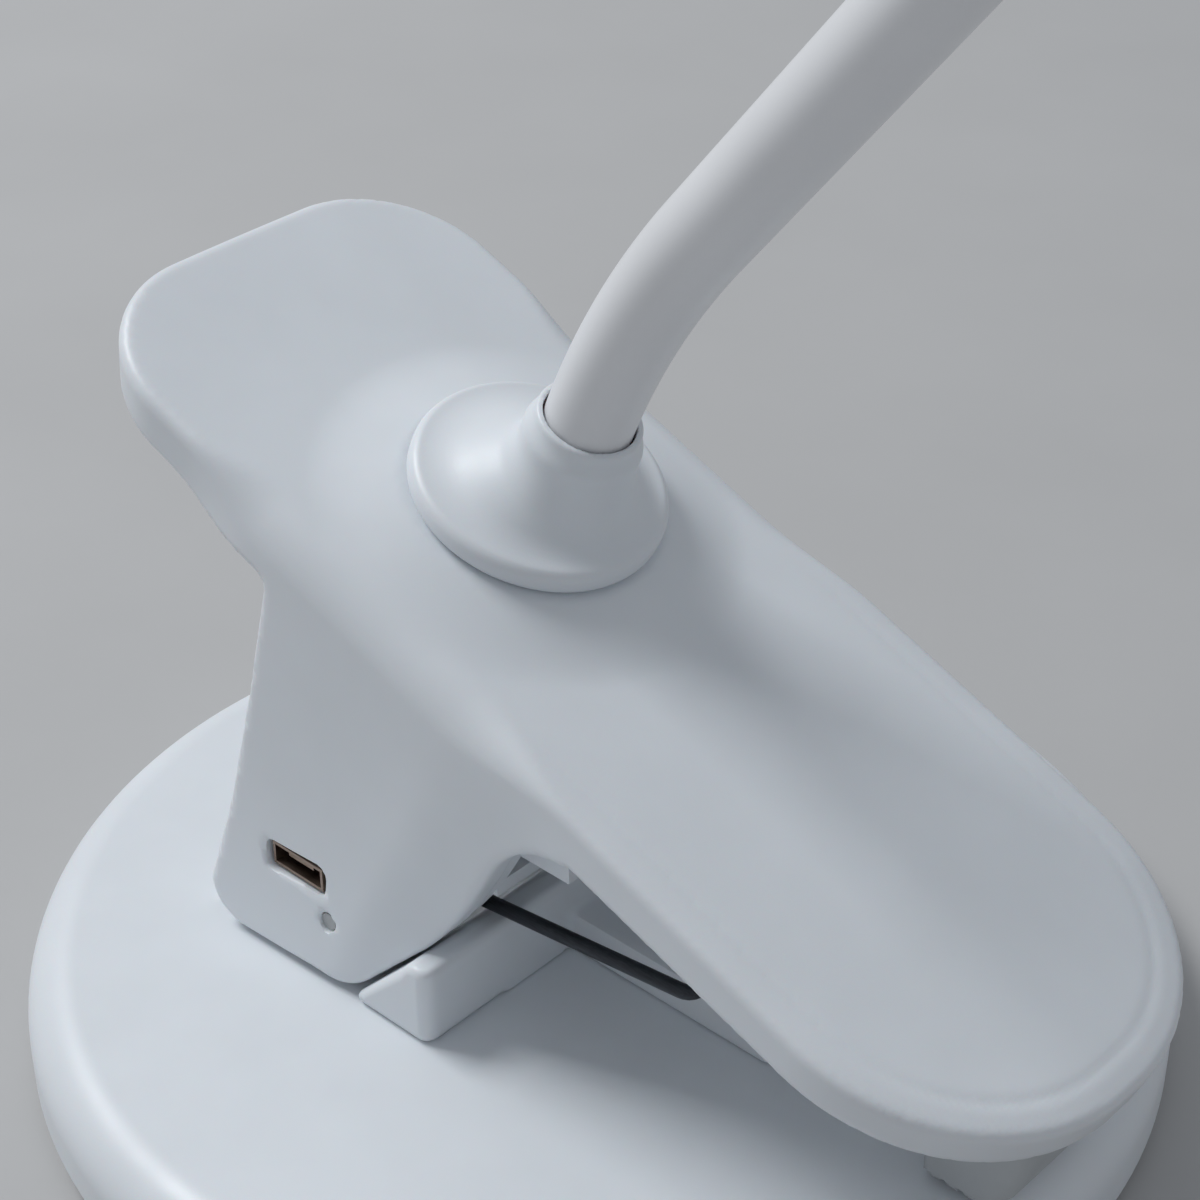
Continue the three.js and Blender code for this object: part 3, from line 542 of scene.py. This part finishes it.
def edge_radius(u):
    """The top edge's fillet: small along the handle and the jaw, large where the cheeks flow into the top."""
    return 1.4 - 0.5 * ramp(u, 10, 40) + 3.2 * over_cheeks(u)


def arm_field(x, y, z):
    u, w = arm_axes(x, z)
    outline = outline_distance(x, z, CHEEK)
    under = -(w + ARM_THICK - TAPER * u)
    side = arm_plan(u, y, 0, np.clip(-w, 0, 60))
    rim = arm_plan(u, y, 0)
    jaw_share = ramp(u, 16, 34)
    crease = CREASE_DEPTH * np.exp(-((rim + CREASE_INSET) / CREASE_WIDTH) ** 2) * jaw_share
    from_hub = np.hypot(u, y)
    swelling = HUB_LIFT * (1 - ramp(from_hub, HUB_RADIUS - 3, SWELLING_END))
    camber = 0.4 * (y / ARM_HALF) ** 2
    top = swelling - camber - crease - 0.35 * ramp(rim, -CREASE_INSET, 0) * jaw_share
    crown = meet(side, w - top, edge_radius(u))
    lower_edge = 0.6 + 1.8 * (1 - ramp(u, -30, -18))
    body = meet(join(under, outline, 1.2), crown, lower_edge)
    cheek = meet(outline, CHEEK_IN - np.abs(y), 0.2)
    hollow = carve(crown + WALL, cheek)
    well = meet(meet(outline + WALL, crown + WALL, 0.5), CHEEK_IN - 1 - np.abs(y), 0.2)
    body = carve(body, np.minimum(hollow, well), 0.3)
    body = carve(body, from_hub - SPIGOT_RADIUS - GAP, 0.2)
    body = carve(body, meet(from_hub - HUB_RADIUS - 0.35, HUB_LIFT - 0.6 - w, 0.05), 0.25)
    port = meet(rounded_box(x - PORT.x, z - PORT.z, *PORT_HALF, 1.2), y + 22, 0.1)
    body = carve(body, port, 0.3)
    light = meet(np.hypot(x - LIGHT.x, z - LIGHT.z) - LIGHT_RADIUS - 0.15, y + 22, 0.1)
    return carve(body, light, 0.2)


def make_arm():
    low, high = corners("arm_top_shell")
    piece = skin("arm_shell", arm_field, low, high, 0.6, shell_white.material)
    finish_piece(piece, "arm", "shell_white", "arm_top_shell")


make_arm()

# ---- Hub ----

SOCKET_SHIFT = 2.7  # the socket stands forward of the hub's axis
SOCKET_RADIUS = 5.5
SOCKET_TOP = 13.6
SPIGOT_END = -5.2 - HUB_LIFT  # heights here are over the hub's foot
NECK_RADIUS = 4.7
SLEEVE_RADIUS = NECK_RADIUS - 0.1
HUB_TURN = Matrix((ALONG, Vector((0, 1, 0)), ARM_UP)).transposed().to_4x4()
HUB_FOOT = HUB + ARM_UP * HUB_LIFT
HUB_PLACE = Matrix.Translation(HUB_FOOT * MM) @ HUB_TURN


def hub_field(a, b, c):
    across = np.hypot(a, b)
    disc = meet(across - HUB_RADIUS, slab(c, -0.15, 2.5), 0.9)
    rise = np.clip((c - 1.6) / 8.0, 0, 1)
    from_core = np.hypot(a - SOCKET_SHIFT * ramp(c, 1, 9), b)
    bell = meet((from_core - SOCKET_RADIUS - 7.0 * (1 - rise) ** 1.7) * 0.75, slab(c, 0, 11), 0.3)
    from_socket = np.hypot(a - SOCKET_SHIFT, b)
    socket = meet(from_socket - SOCKET_RADIUS, slab(c, 2, SOCKET_TOP), 0.5)
    body = join(melt(disc, bell, 1.6), socket, 2.0)
    body = join(body, meet(across - SPIGOT_RADIUS, slab(c, SPIGOT_END, 1), 0.2), 0.1)
    body = carve(body, meet(from_socket - NECK_RADIUS - 0.12, 6 - c, 0.1), 0.25)
    return carve(body, np.hypot(a - SOCKET_SHIFT / 2, b) - 2.4, 0.1)


def make_hub():
    low, high = (-HUB_RADIUS, -HUB_RADIUS, SPIGOT_END), (HUB_RADIUS, HUB_RADIUS, SOCKET_TOP)
    piece = skin("hub_shell", hub_field, low, high, 0.34, shell_white.material, HUB_PLACE)
    finish_piece(piece, "hub", "shell_white", "swivel_hub")


make_hub()

# ---- Neck: one stretch of sleeve over each joint ----

NECK_RUNS = [(28, 38.5), (110, 38.5), (120, 105)]  # length, and the angle from the vertical it ends at
NECK_LENGTH = sum(length for length, _ in NECK_RUNS)
NECK_BODIES = ["hub"] + [f"neck_{k}" for k in range(1, 8)] + ["head"]
NECK_STUB = 14  # from either end of the neck to the nearest joint
NECK_PITCH = (NECK_LENGTH - 2 * NECK_STUB) / (len(NECK_BODIES) - 2)
SLEEVE_STEP = 0.8
SLEEVE_WALL = 1.3
MOUTH = HUB_FOOT + ALONG * SOCKET_SHIFT + ARM_UP * SOCKET_TOP


def neck_at(distance):
    """Point on the neck's centre line, and its angle from the vertical."""
    x, z, angle, left = MOUTH.x, MOUTH.z, SLOPE, distance
    start = math.degrees(SLOPE)
    for k, (length, end) in enumerate(NECK_RUNS):
        run = left if k == len(NECK_RUNS) - 1 else min(left, length)
        turn = math.radians(end - start) * run / length
        if abs(turn) < 1e-6:
            x, z = x + run * math.sin(angle), z + run * math.cos(angle)
        else:
            radius = run / turn
            x += radius * (math.cos(angle) - math.cos(angle + turn))
            z += radius * (math.sin(angle + turn) - math.sin(angle))
        angle, left, start = angle + turn, left - run, end
    return Vector((x, 0, z)), angle


def make_neck():
    last = len(NECK_BODIES) - 2
    for j, (below, above) in enumerate(zip(NECK_BODIES, NECK_BODIES[1:])):
        middle = NECK_STUB + NECK_PITCH * j
        start = -5.0 if j == 0 else middle - NECK_PITCH / 2
        end = NECK_LENGTH + 6 if j == last else middle + NECK_PITCH / 2
        steps = max(int((end - start) / SLEEVE_STEP), 2)
        centres = [neck_at(start + (end - start) * k / steps)[0] for k in range(steps + 1)]
        piece = tube(
            f"neck_sleeve_{j + 1}", centres, SLEEVE_RADIUS, sleeve.material, 64, SLEEVE_RADIUS - SLEEVE_WALL)
        bend = [neck_at(middle + way * (NECK_PITCH / 2 - 1.5))[0] * MM for way in (-1, 1)]
        if j == 0:
            bend[0] = neck_at(1.0)[0] * MM
        if j == last:
            bend[1] = neck_at(NECK_LENGTH - 2)[0] * MM
        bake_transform(piece)
        replaced = ["neck_ferrule_lower"] if j == 0 else [f"gooseneck_{j}"]
        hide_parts(*replaced, *(["neck_ferrule_upper"] if j == last else []))


make_neck()

# ---- Head ----

HEAD_END, HEAD_ANGLE = neck_at(NECK_LENGTH)
HEAD_PLACE = Matrix.Translation(HEAD_END * MM) @ Matrix.Rotation(HEAD_ANGLE - math.pi / 2, 4, "Y")
HEAD_X = (9, 137)
HEAD_HALF = 29
HEAD_TOP = 8
HEAD_BOTTOM = -6
FRAME_TOP = -4
HEAD_WALL = 1.8
HEAD_RIM = 8.5  # width of the frame round the window
COLLAR_RADIUS = 6.4
COLLAR_HOLE = COLLAR_RADIUS + GAP
KEY_X = 35
KEY_RADIUS = 8
HEAD_SCREWS = [(x, y) for x in (HEAD_X[0] + 36, HEAD_X[1] - 36) for y in (-25.2, 25.2)]


def head_plan(x, y, inset):
    corner = HEAD_HALF - inset - 1
    return plan(x, y, HEAD_X[0] + inset, HEAD_X[1] - inset, HEAD_HALF - inset, corner, corner)


def collar_hole(x, y, z):
    return meet(np.hypot(y, z) - COLLAR_HOLE, x - HEAD_X[0] - 8, 0.1)


def head_top_field(x, y, z):
    rim = head_plan(x, y, 0)
    top = HEAD_TOP - 1.1 * ramp(rim, -26, -4) ** 2
    crown = meet(rim, z - top, 4.5)
    body = meet(crown, FRAME_TOP + 0.05 - z, 0.25)
    body = carve(body, meet(crown + HEAD_WALL, z - HEAD_TOP + HEAD_WALL, 0.3), 0.15)
    from_key = np.hypot(x - KEY_X, y)
    body = carve(body, meet(from_key - KEY_RADIUS - 0.25, 3 - z, 0.1), 0.3)
    return carve(body, collar_hole(x, y, z), 0.7)


def head_frame_field(x, y, z):
    body = meet(head_plan(x, y, 0), slab(z, HEAD_BOTTOM, FRAME_TOP), 0.8)
    body = carve(body, head_plan(x, y, HEAD_RIM) + 0.35 * (z - FRAME_TOP), 0.3)
    for screw_x, screw_y in HEAD_SCREWS:
        away = np.hypot(x - screw_x, y - screw_y)
        body = carve(body, np.minimum(away - 1.4, meet(away - 2.4, z - HEAD_BOTTOM - 1.15, 0.1)), 0.2)
    return carve(body, collar_hole(x, y, z), 0.7)


def diffuser_field(x, y, z):
    bottom = HEAD_BOTTOM + 0.6 - 0.35 * ramp(-head_plan(x, y, HEAD_RIM), 0, 18)
    window = meet(head_plan(x, y, HEAD_RIM + GAP), meet(bottom - z, z - FRAME_TOP - 0.5, 0.1), 0.35)
    flange = meet(head_plan(x, y, HEAD_RIM - 1.6), slab(z, FRAME_TOP + 0.05, FRAME_TOP + 1.3), 0.2)
    return join(window, flange, 0.1)


def make_head():
    low = (HEAD_X[0], -HEAD_HALF, HEAD_BOTTOM)
    shells = [
        ("head_top", head_top_field, HEAD_TOP, 0.75, shell_white, "shell_white", "head_top_shell"),
        ("head_frame", head_frame_field, FRAME_TOP, 0.6, shell_white, "shell_white", "head_bottom_frame"),
        ("opal_window", diffuser_field, FRAME_TOP + 2, 0.6, lens, "diffuser_opal", "diffuser"),
    ]
    for name, field, top, step, finish, slot, replaced in shells:
        high = (HEAD_X[1], HEAD_HALF, top)
        piece = skin(name, field, low, high, step, finish.material, HEAD_PLACE)
        finish_piece(piece, "head", slot, replaced)
    z = HEAD_TOP - HEAD_WALL
    dish = [
        (0, z), (KEY_RADIUS, z), (KEY_RADIUS, HEAD_TOP + 0.15), (KEY_RADIUS - 1.2, HEAD_TOP + 0.15),
        (KEY_RADIUS - 2.4, HEAD_TOP - 0.35), (2.2, HEAD_TOP - 0.45), (1.5, HEAD_TOP - 0.1),
        (0, HEAD_TOP - 0.1)]
    outline = rounded(dish, [0, 0.2, 0.25, 0.5, 1.2, 0.3, 0.3, 0])
    key_place = HEAD_PLACE @ Matrix.Translation((KEY_X * MM, 0, 0))
    button = turned("touch_button", outline, key.material, 72, key_place)
    finish_piece(button, "head", "key_grey", "touch_key")
    inner, outer = NECK_RADIUS + 0.15, COLLAR_RADIUS
    profile = [(inner, -4), (outer - 1, -4), (outer, 0), (outer, 15), (2.4, 15), (2.4, 7), (inner, 7)]
    outline = rounded(profile, [0.3, 0.6, 4, 0.3, 0.3, 0.2, 0.2])
    collar_place = HEAD_PLACE @ Matrix.Rotation(math.pi / 2, 4, "Y")
    collar = turned("neck_collar", outline, shell_white.material, 72, collar_place)
    finish_piece(collar, "head", "shell_white", "neck_collar_upper")


make_head()

# ---- Hinge pedestal and spring ----

LUG_Y = 6  # half the lug's width
LUG_RADIUS = 5.5
TONGUE_Y = 7  # and half the tongue's
TONGUE_END = 29.5
TONGUE_STEP = 5.0  # height of the tongue's low stretch, over the base
PEDESTAL_X = (-33, 2)
PEDESTAL_Y = 28.5
HOOK = Vector((28, 0, BASE_TOP + 15.1))  # the fixed ends of the spring
HOOK_SET = 0.4  # how far behind that point they lie
WIRE_RADIUS = 0.8
WIRE_BEND = 1.6
COIL_RADIUS = 4.7
COIL_Y = (7.5, 17.0)
COIL_TURNS = 4
BAR_X = 1.4


def pedestal_field(x, y, z):
    t = BASE_TOP
    foot = t + 0.05 - z
    across = np.abs(y)
    side = plan(x, y, PEDESTAL_X[0], PEDESTAL_X[1], PEDESTAL_Y, 4, 1.5)
    block = meet(meet(plan(x, y, *PEDESTAL_X, 17.5, 1, 1), z - t - 3, 0.5), foot, 0.1)
    front = outline_distance(x, z, [
        (-8.8, t - 1), (6, t - 1), (6, t + 12), (0.8, t + 12), (-1.9, t + 8.2), (-8.8, t + 1)])
    front_wall = meet(meet(front, side, 0.8), meet(z - t - 9.6, foot, 0.1), 0.8)
    rear_wall = meet(meet(side, x + 31.6, 0.5), meet(z - t - 3.6, foot, 0.1), 0.5)
    web = outline_distance(x, z, [
        (-31, t + 2), (-8, t + 2), (HINGE.x + LUG_RADIUS, HINGE.z), (HINGE.x - LUG_RADIUS, HINGE.z)])
    from_pin = np.hypot(x - HINGE.x, z - HINGE.z)
    lug = meet(np.minimum(web, from_pin - LUG_RADIUS), across - LUG_Y, 0.5)
    arm = outline_distance(x, z, [
        (-4, t), (TONGUE_END, t), (TONGUE_END, t + 17.4), (TONGUE_END - 4.5, t + 17.4),
        (TONGUE_END - 6.5, t + TONGUE_STEP), (-4, t + TONGUE_STEP)])
    tongue = meet(meet(arm, across - TONGUE_Y, 0.6), foot, 0.1)
    body = join(np.minimum(np.minimum(block, front_wall), rear_wall), np.minimum(lug, tongue), 0.8)
    body = carve(body, from_pin - 1.9, 0.3)
    body = carve(body, np.hypot(x - HOOK.x + HOOK_SET, z - HOOK.z) - 1.2, 0.3)
    return meet(body, foot, 0.1)


def make_pedestal():
    low, high = corners("hinge_pedestal")
    piece = skin("pedestal", pedestal_field, low, high, 0.5, shell_white.material)
    finish_piece(piece, "base", "shell_white", "hinge_pedestal")


def bend_points(points, radius, steps=5):
    """Straight runs through points, with each corner bent round that radius."""
    path = [points[0]]
    for before, here, after in zip(points, points[1:], points[2:]):
        to_before, to_after = (before - here).normalized(), (after - here).normalized()
        longest = min((before - here).length, (after - here).length) / 2.1
        reach = min(radius / math.tan(to_before.angle(to_after) / 2), longest)
        first, last = here + to_before * reach, here + to_after * reach
        for k in range(steps + 1):
            t = k / steps
            path.append(first * (1 - t) ** 2 + here * (2 * t * (1 - t)) + last * t * t)
    return path + [points[-1]]


def make_spring():
    """Two coils on the pin, their legs hooked in the tongue, and the bar between them."""
    leg = math.atan2(HOOK.z - (HINGE.z - COIL_RADIUS), HOOK.x - HINGE.x)
    sweep = math.pi + leg + COIL_TURNS * 2 * math.pi
    steps = COIL_TURNS * 36
    for side, name in ((-1, "near"), (1, "far")):
        path = []
        for k in range(steps + 1):
            a = math.pi / 2 + sweep * k / steps
            y = COIL_Y[0] + (COIL_Y[1] - COIL_Y[0]) * k / steps
            x, z = HINGE.x + COIL_RADIUS * math.cos(a), HINGE.z + COIL_RADIUS * math.sin(a)
            path.append(Vector((x, side * y, z)))
        hook_x = HOOK.x - HOOK_SET
        corner = Vector((hook_x, side * COIL_Y[1], HOOK.z))
        end = Vector((hook_x, side * (TONGUE_Y - 2), HOOK.z))
        path += bend_points([path.pop(), corner, end], WIRE_BEND)
        piece = tube(f"spring_coil_{name}", path, WIRE_RADIUS, spring_wire.material, 14)
        finish_piece(piece, "base", "spring_steel", "torsion_spring")
    ends = [Vector((HINGE.x, side * COIL_Y[0], HINGE.z + COIL_RADIUS)) for side in (-1, 1)]
    bar_z = BASE_TOP + 16.5 + WIRE_RADIUS
    bar = [Vector((BAR_X, side * COIL_Y[0], bar_z)) for side in (-1, 1)]
    path = bend_points([ends[0], *bar, ends[1]], WIRE_BEND)
    finish_piece(tube("spring_bar", path, WIRE_RADIUS, spring_wire.material, 14), "arm", "spring_steel")


make_pedestal()
make_spring()

# ---- Rubber pads ----

FOOT_WIDTH = 13.9  # of the ring the lamp stands on


def jaw_pad_field(x, y, z):
    low, high = corners("jaw_pad")
    wedge = outline_distance(x, z, [
        (low.x, low.z), (high.x - 4.4, low.z), (high.x - 2.4, low.z + 2),
        (high.x, BASE_TOP + 13.2), (low.x, high.z)])
    body = meet(wedge, plan(x, y, low.x, high.x, high.y, 1.2, 5.5), 0.7)
    ribs = np.abs((x - low.x) % 2.0 - 1.0) - 0.3
    return carve(body, meet(ribs, z - low.z - 0.6, 0.1), 0.15)


def make_pads():
    low, high = corners("jaw_pad")
    piece = skin("jaw_grip", jaw_pad_field, low, high, 0.3, pad_rubber.material)
    finish_piece(piece, "arm", "soft_rubber", "jaw_pad")
    outer = corners("foot_pad")[1].x - 0.1
    inner = outer - FOOT_WIDTH
    top = PAD_TOP - 0.05
    profile = [(0, 0.5), (inner, 0.5), (inner, 0), (outer, 0), (outer, top), (0, top)]
    outline = rounded(profile, [0, 0.2, 0.2, 0.4, 0.1, 0])
    foot = turned("foot_ring", outline, pad_rubber.material, 128)
    finish_piece(foot, "base", "soft_rubber", "foot_pad")


make_pads()

# ---- Camera, floor and light ----

CAMERA_AT = Vector((155.2, -170.0, BASE_TOP + 192.4)) * MM
CAMERA_TURN = math.radians(42.4)
CAMERA_FALL = math.radians(33.4)
FOCAL_SHARE = 2.261  # focal length as a share of the sensor's width


def make_camera():
    data = bpy.data.cameras.new("camera")
    data.lens = FOCAL_SHARE * data.sensor_width
    data.clip_start, data.clip_end = 0.01, 100
    camera = bpy.data.objects.new("camera", data)
    camera.location = CAMERA_AT
    camera.rotation_euler = (math.pi / 2 - CAMERA_FALL, 0, CAMERA_TURN)
    bpy.context.scene.collection.objects.link(camera)
    bpy.context.scene.camera = camera


def area_light(name, size, power, colour, location, target):
    data = bpy.data.lights.new(name, "AREA")
    data.shape = "RECTANGLE"
    data.size, data.size_y = size
    data.energy = power
    data.color = colour
    light = bpy.data.objects.new(name, data)
    light.location = location
    light.rotation_euler = (Vector(target) - Vector(location)).to_track_quat("-Z", "Y").to_euler()
    bpy.context.scene.collection.objects.link(light)


def make_stage():
    floor = bpy.data.meshes.new("floor")
    reach = 40.0
    square = [(-reach, -reach, 0), (reach, -reach, 0), (reach, reach, 0), (-reach, reach, 0)]
    floor.from_pydata(square, [], [(0, 1, 2, 3)])
    shader = Shader("pale_floor")
    shader.tint(shader.noise(60, 4), (0.50, 0.495, 0.49), (0.52, 0.515, 0.51))
    shader.surface.inputs["Roughness"].default_value = 0.6
    floor.materials.append(shader.material)
    stage = bpy.data.objects.new("floor", floor)
    bpy.context.scene.collection.objects.link(stage)
    right = Vector((math.cos(CAMERA_TURN), math.sin(CAMERA_TURN), 0))
    ahead = Vector((-math.sin(CAMERA_TURN), math.cos(CAMERA_TURN), 0))
    up = Vector((0, 0, 1))
    world = bpy.data.worlds.new("studio")
    world.use_nodes = True
    background = world.node_tree.nodes["Background"]
    background.inputs["Color"].default_value = (0.88, 0.93, 1.0, 1)
    background.inputs["Strength"].default_value = 0.37
    bpy.context.scene.world = world
    bpy.context.scene.view_settings.view_transform = "Standard"
    light_at = -right * 0.85 + up * 1.2 + ahead * 0.5
    area_light("window", (0.6, 0.5), 14, (0.96, 0.98, 1.0), light_at, (0, 0, 0.03))


make_camera()
make_stage()
